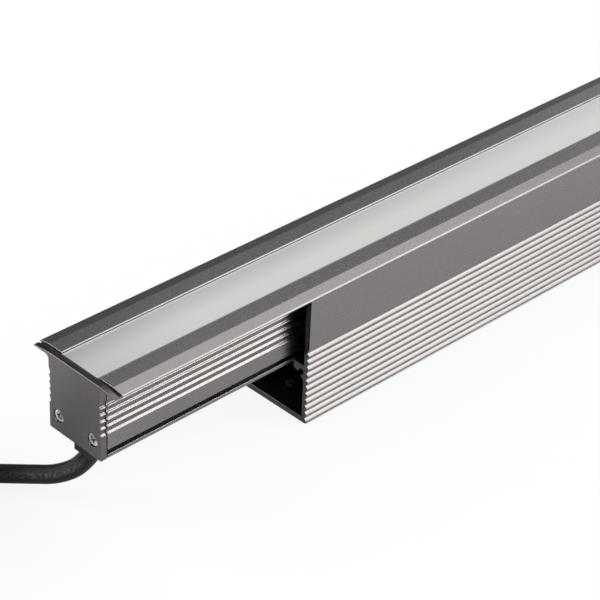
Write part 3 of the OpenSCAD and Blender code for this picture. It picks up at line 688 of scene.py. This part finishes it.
# %% Turn a profile
def turned(profile, sides=40):
    """A mesh from a profile of (radius, height) points, which goes round the Z axis."""
    bm = bmesh.new()
    rings = []
    for radius, height in profile:
        count = sides if radius > 0 else 1
        angles = [2 * math.pi * i / count for i in range(count)]
        rings.append([bm.verts.new((radius * math.cos(a), radius * math.sin(a), height)) for a in angles])
    for lower_ring, upper_ring in zip(rings, rings[1:]):
        for i in range(sides):
            j = (i + 1) % sides
            corners = [lower_ring[i % len(lower_ring)], lower_ring[j % len(lower_ring)]]
            corners += [upper_ring[j % len(upper_ring)], upper_ring[i % len(upper_ring)]]
            bm.faces.new(list(dict.fromkeys(corners)))
    bmesh.ops.recalc_face_normals(bm, faces=bm.faces)
    mesh = bpy.data.meshes.new("turned")
    bm.to_mesh(mesh)
    bm.free()
    return mesh


# %% [markdown]
# ## Carving
# A punch sinks the cross recess into the head. The recess could be drawn into the head's own faces, but a
# Boolean modifier does what the punch does: it takes a tapered bar out, and then a second one across it.

# %% Carve a recess
SQUARE = ((-1, -1), (1, -1), (1, 1), (-1, 1))
BAR_TAPER = 0.7


def tapered_bar(top_length, foot_length, width, height, depth):
    """A bar that narrows from its top to its foot, to be taken out of a screw's head."""
    mesh = bpy.data.meshes.new("bar")
    corners = []
    ends = ((height, top_length, width), (height - depth, foot_length, BAR_TAPER * width))
    for z, length, breadth in ends:
        corners += [(sx * length / 2, sy * breadth / 2, z) for sx, sy in SQUARE]
    faces = [(0, 1, 2, 3), (7, 6, 5, 4), (0, 4, 5, 1), (1, 5, 6, 2), (2, 6, 7, 3), (3, 7, 4, 0)]
    mesh.from_pydata(corners, [], faces)
    return mesh


def carve(piece, mesh, turn):
    """Takes a mesh, turned about Z, out of a piece."""
    cutter = link("cutter", mesh)
    cutter.rotation_euler.z = turn
    cut = piece.modifiers.new("cut", "BOOLEAN")
    cut.solver = "EXACT"
    cut.object = cutter
    bpy.context.view_layer.update()
    piece.data = bpy.data.meshes.new_from_object(piece.evaluated_get(bpy.context.evaluated_depsgraph_get()))
    piece.modifiers.clear()
    bpy.data.objects.remove(cutter)


# %% [markdown]
# ## One cap screw
# The head is a low dome that rolls over into an upright edge. Its profile is given in shares of the head's
# radius and height, so that it keeps its form when a size changes. The shank carries fine rings, as a
# thread looks at this size: a true helix would cost thousands of faces that nobody sees.

# %% Make a cap screw
HEAD_D = 6.0 * MM
HEAD_H = 1.9 * MM
HEAD_PROFILE = (
    (0, 1), (0.3, 0.995), (0.6, 0.98), (0.8, 0.95), (0.91, 0.89),
    (0.97, 0.79), (1, 0.65), (1, 0.1), (0.98, 0))
RECESS_TOP = 0.6 * HEAD_D
RECESS_FOOT = 0.3 * HEAD_D
RECESS_W = 0.16 * HEAD_D
RECESS_FROM = 1.02 * HEAD_H
RECESS_DEPTH = 0.75 * HEAD_H
SHANK_D = 2.9 * MM
SHANK_L = 12 * MM
THREAD_ROOT = 0.86
THREAD_START = 0.9
SHANK_POINT = 0.6
RINGS = 22
head = [(HEAD_D / 2 * r, HEAD_H * z) for r, z in HEAD_PROFILE]
thread = [(THREAD_START * SHANK_D / 2, 0.0)]
for ring in range(RINGS):
    foot = -(ring + 0.25) * SHANK_L / RINGS
    thread += [(SHANK_D / 2, foot), (THREAD_ROOT * SHANK_D / 2, foot - 0.5 * SHANK_L / RINGS)]
point = [(SHANK_POINT * SHANK_D / 2, -SHANK_L), (0, -SHANK_L)]
screw = link("screw_pattern", turned(head + thread + point))
for turn in (0, math.pi / 2):
    carve(screw, tapered_bar(RECESS_TOP, RECESS_FOOT, RECESS_W, RECESS_FROM, RECESS_DEPTH), turn)
print("screw faces:", len(screw.data.polygons))

# %% [markdown]
# ## Four screws in place
# Each end cap has two screws, and a hand drove them in, so the crosses of a cap stand at different angles.
# They could be four objects that share a mesh. One piece for each cap suits the frame better, because it
# then stands for the solid that it replaces.

# %% Put the screws in
SHARP_ANGLE = math.radians(32)


def copies(name, mesh, places):
    """One piece from copies of a mesh; each place is a matrix."""
    bm = bmesh.new()
    for place in places:
        copy = mesh.copy()
        copy.transform(place)
        bm.from_mesh(copy)
        bpy.data.meshes.remove(copy)
    joined = bpy.data.meshes.new(name)
    bm.to_mesh(joined)
    bm.free()
    joined.shade_smooth()
    joined.set_sharp_from_angle(angle=SHARP_ANGLE)
    return link(name, joined)


LAMP_L = 500 * MM
SCREW_Y = 10.5 * MM
SCREW_Z = LEDGE_H + 7.7 * MM
SEAT_IN = 2.1 * MM
SCREW_TURNS = (0.5, 1.1)
CAP_SEATS = (("front", LAMP_X0 + SEAT_IN, -1), ("rear", LAMP_X0 + LAMP_L - SEAT_IN, 1))
for cap_name, x, outward_sign in CAP_SEATS:
    aim = Vector((outward_sign, 0, 0)).to_track_quat("Z", "Y").to_matrix().to_4x4()
    places = []
    for y, turn in zip((-SCREW_Y, SCREW_Y), SCREW_TURNS):
        places.append(Matrix.Translation((x, y, SCREW_Z)) @ aim @ Matrix.Rotation(turn, 4, "Z"))
    piece = copies(f"{cap_name}_pan_heads", screw.data, places)
    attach(piece, "lamp")
    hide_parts(f"{cap_name}_cap_screws")
    print(piece.name, "stands for", f"{cap_name}_cap_screws")
bpy.data.objects.remove(screw)

# %% [markdown]
# ## Stainless steel
# The heads are bright, with a faint brushing, and the punched recess is dark because little light finds
# its way in and out of it. On a head that is ten pixels wide that would hardly show, so the recess gets a
# tone of its own: all that lies near the screw's axis and below the dome. Two materials would need the
# faces sorted by hand, while the place of a point is known already.

# %% Make the steel
STEEL = (0.96, 0.945, 0.92)
RECESS_DARK = (0.26, 0.225, 0.205)
METAL_ROUGH = 0.3
BRUSHED_SCALE = 2600.0
BRUSHED_DEPTH = 0.008 * MM
steel = Finish("screw_steel", STEEL, METAL_ROUGH, metallic=1.0)
brushed = steel.noise(BRUSHED_SCALE)
off_axis = ((abs(steel.axis("Y")) - SCREW_Y) ** 2.0 + (steel.axis("Z") - SCREW_Z) ** 2.0) ** 0.5
above_seat = abs(steel.axis("X") - (LAMP_X0 + LAMP_L / 2)) - (LAMP_L / 2 - SEAT_IN)
sunk = (off_axis < 0.35 * HEAD_D) * (above_seat < 0.88 * HEAD_H) * (1 - (above_seat < 0.1 * HEAD_H))
steel.surface({
    "Base Color": steel.blend(sunk, STEEL, RECESS_DARK),
    "Roughness": 0.2 + 0.16 * brushed})
steel.bump(brushed, BRUSHED_DEPTH, edge=0.08 * MM)
dress(steel.material, "front_pan_heads", "rear_pan_heads", "board_screws", "terminal_screws", "earth_screw")

# %% [markdown]
# ## Bare copper
# The tips of the cores are fine strands, twisted together. A strand is a fifth of a millimetre thick. They
# could be modelled one by one, but nobody would see them, so a tight bump on red metal stands for them.

# %% Make the bare copper
COPPER = (0.75, 0.36, 0.22)
STRAND_SCALE = 2500.0
STRAND_DEPTH = 0.04 * MM
bare = Finish("bare_copper", COPPER, METAL_ROUGH, metallic=1.0)
bare.bump(bare.noise(STRAND_SCALE), STRAND_DEPTH)
dress(bare.material, "copper_tips")

# %% [markdown]
# ## Inside the lamp
# Nobody sees the driver and the light board while the lamp is whole, but a reader who takes it apart does.
# They get the finishes of such pieces: white solder mask, yellow lenses, moulded plastic, red leads and
# the three colours of a supply cable. Moulded plastic has soft edges and a faint orange peel, and one
# function gives both. The cores at the cable's far end are the same wires, and share their finishes.

# %% Make the inner finishes
PEEL_SCALE = 900.0


def plastic(name, colour, roughness):
    """Moulded or coated plastic with soft edges and a faint orange peel."""
    finish = Finish(name, colour, roughness)
    finish.bump(finish.noise(PEEL_SCALE), 0.02 * MM, edge=0.2 * MM)
    return finish.material


dress(plastic("board_white", (0.75, 0.75, 0.72), 0.4), "led_board")
dress(plastic("led_lens", (0.85, 0.68, 0.18), 0.15), "leds")
dress(plastic("white_plastic", (0.72, 0.72, 0.68), 0.35), "board_connector", "terminal_block")
dress(plastic("driver_case", (0.22, 0.23, 0.24), 0.55), "driver")
dress(plastic("core_brown", (0.10, 0.045, 0.02), 0.35), "wire_live", "core_brown")
dress(plastic("core_blue", (0.02, 0.07, 0.32), 0.35), "wire_neutral", "driver_leads", "core_blue")
dress(plastic("core_green", (0.10, 0.30, 0.03), 0.35), "wire_earth", "earth_lead", "core_green")
dress(plastic("lead_red", (0.45, 0.015, 0.012), 0.35), "led_leads")

# %% [markdown]
# ## The floor
# The product stands on white paper. Paper that is only lit comes out grey, and more light would burn the
# product out. So the paper glows towards the camera, nearly as bright as white, and what is left of its own
# shading keeps a faint shadow. Far out the glow takes over, and no horizon shows. The metal sees a weaker
# glow, and under the channel the paper stays dark, because no light gets there.

# %% Lay the floor
FLOOR_HALF = 3.0
PAPER = (0.8, 0.8, 0.8)
PAPER_ROUGH = 0.9
PAPER_GLOW = 0.88
MIRRORED_GLOW = 0.3
HORIZON_FADE = (0.9, 2.4)
floor_mesh = bpy.data.meshes.new("floor")
floor_corners = [(sx * FLOOR_HALF, sy * FLOOR_HALF, 0) for sx, sy in SQUARE]
floor_mesh.from_pydata(floor_corners, [], [(0, 1, 2, 3)])
floor = link("floor", floor_mesh)
paper = Finish("paper", PAPER, PAPER_ROUGH)
glow = paper.add("ShaderNodeEmission", None, {"Color": (1, 1, 1, 1), "Strength": 1.0})
where = paper.add("ShaderNodeSeparateXYZ", None, {0: paper.add("ShaderNodeTexCoord").outputs["Object"]})
off_x = abs(Flow(paper, where.outputs["X"]))
off_y = abs(Flow(paper, where.outputs["Y"]))
covered = (off_x < solid_box[1][0]) * (off_y < CHANNEL_W / 2)
seen = PAPER_GLOW + (1 - PAPER_GLOW) * paper.spread(off_x + off_y, *HORIZON_FADE)
shining = seen * paper.rays("Camera", "Transmission") + MIRRORED_GLOW * paper.rays("Glossy")
share = shining * (1 - covered)
mixed = paper.add("ShaderNodeMixShader", None, {0: share, 1: paper.shader.outputs[0], 2: glow.outputs[0]})
paper.plug(paper.tree.nodes["Material Output"], {"Surface": mixed.outputs[0]})
dress(paper.material, "floor")

# %% [markdown]
# ## The room
# Metal shows the room that it stands in. A white room would flatten it, and a black one would leave it
# empty. This room is dim and brightens towards one side, so that each face takes a tone of its own, and
# only the camera sees it as white.

# %% Light the world
ROOM_BRIGHT = (0.62, -0.30, 0.72)
ROOM_LEVEL = 0.16
ROOM_GLOW = 0.4
world = bpy.data.worlds.new("studio")
world.use_nodes = True
bpy.context.scene.world = world
studio = Graph(world.node_tree)
toward = studio.add("ShaderNodeTexCoord").outputs["Generated"]
turned_to = studio.add("ShaderNodeVectorMath", {"operation": "DOT_PRODUCT"}, {0: toward, 1: ROOM_BRIGHT})
brightening = Flow(studio, turned_to.outputs["Value"]).at_least(0.0) ** 2.0
seen_white = studio.rays("Camera")
level = (ROOM_LEVEL + ROOM_GLOW * brightening) * (1 - seen_white) + seen_white
studio.plug(world.node_tree.nodes["Background"], {"Color": (1, 1, 1, 1), "Strength": level})
print("room:", len(world.node_tree.nodes), "nodes")

# %% [markdown]
# ## The softboxes
# Satin metal shows lamps as broad bands, so where they stand decides how bright each face is. Point lamps
# would leave hard dots on it, and area lamps are what a studio has. The right and the front box stand where
# the ribs and the near flange mirror them, the back and the end box do that for the flat top, and the left
# and the side box light the cap, its screws and the cable. A lamp's power grows with its size here, so that
# a box may be widened and still looks as bright in a mirror.

# %% Hang the softboxes
BOX_DISTANCE = 2.5
SOFTBOXES = (
    ("right_box", (0.61, -0.28, 0.74), 2.7, 1.4, 4.0),
    ("back_box", (0.45, 0.30, 0.84), 1.5, 1.2, 1.6),
    ("end_box", (0.80, 0.46, 0.38), 0.9, 0.6, 0.7),
    ("front_box", (0.58, -0.76, 0.27), 1.4, 1.1, 4.2),
    ("left_box", (-0.52, 0.66, 0.48), 1.6, 1.9, 3.2),
    ("side_box", (-0.80, -0.25, 0.50), 0.8, 0.6, 11.0))


def softbox(name, direction, width, height, radiance):
    """A lit panel that faces the origin; its radiance is what a mirror would show of it."""
    direction = Vector(direction).normalized()
    data = bpy.data.lights.new(name, "AREA")
    data.shape = "RECTANGLE"
    data.size = width
    data.size_y = height
    data.energy = radiance * math.pi * width * height
    box = link(name, data)
    box.location = BOX_DISTANCE * direction
    box.rotation_mode = "QUATERNION"
    box.rotation_quaternion = (-direction).to_track_quat("-Z", "Y")
    print(name, round(data.energy, 1), "W")


for sizes in SOFTBOXES:
    softbox(*sizes)

# %% [markdown]
# ## The last words
# The picture keeps its colours as they are written, so the view transform is Standard. Last, the length of
# the cable's line is worked out.

# %% Finish
bpy.context.scene.view_settings.view_transform = "Standard"
bpy.context.view_layer.update()
line_length(cable_points)
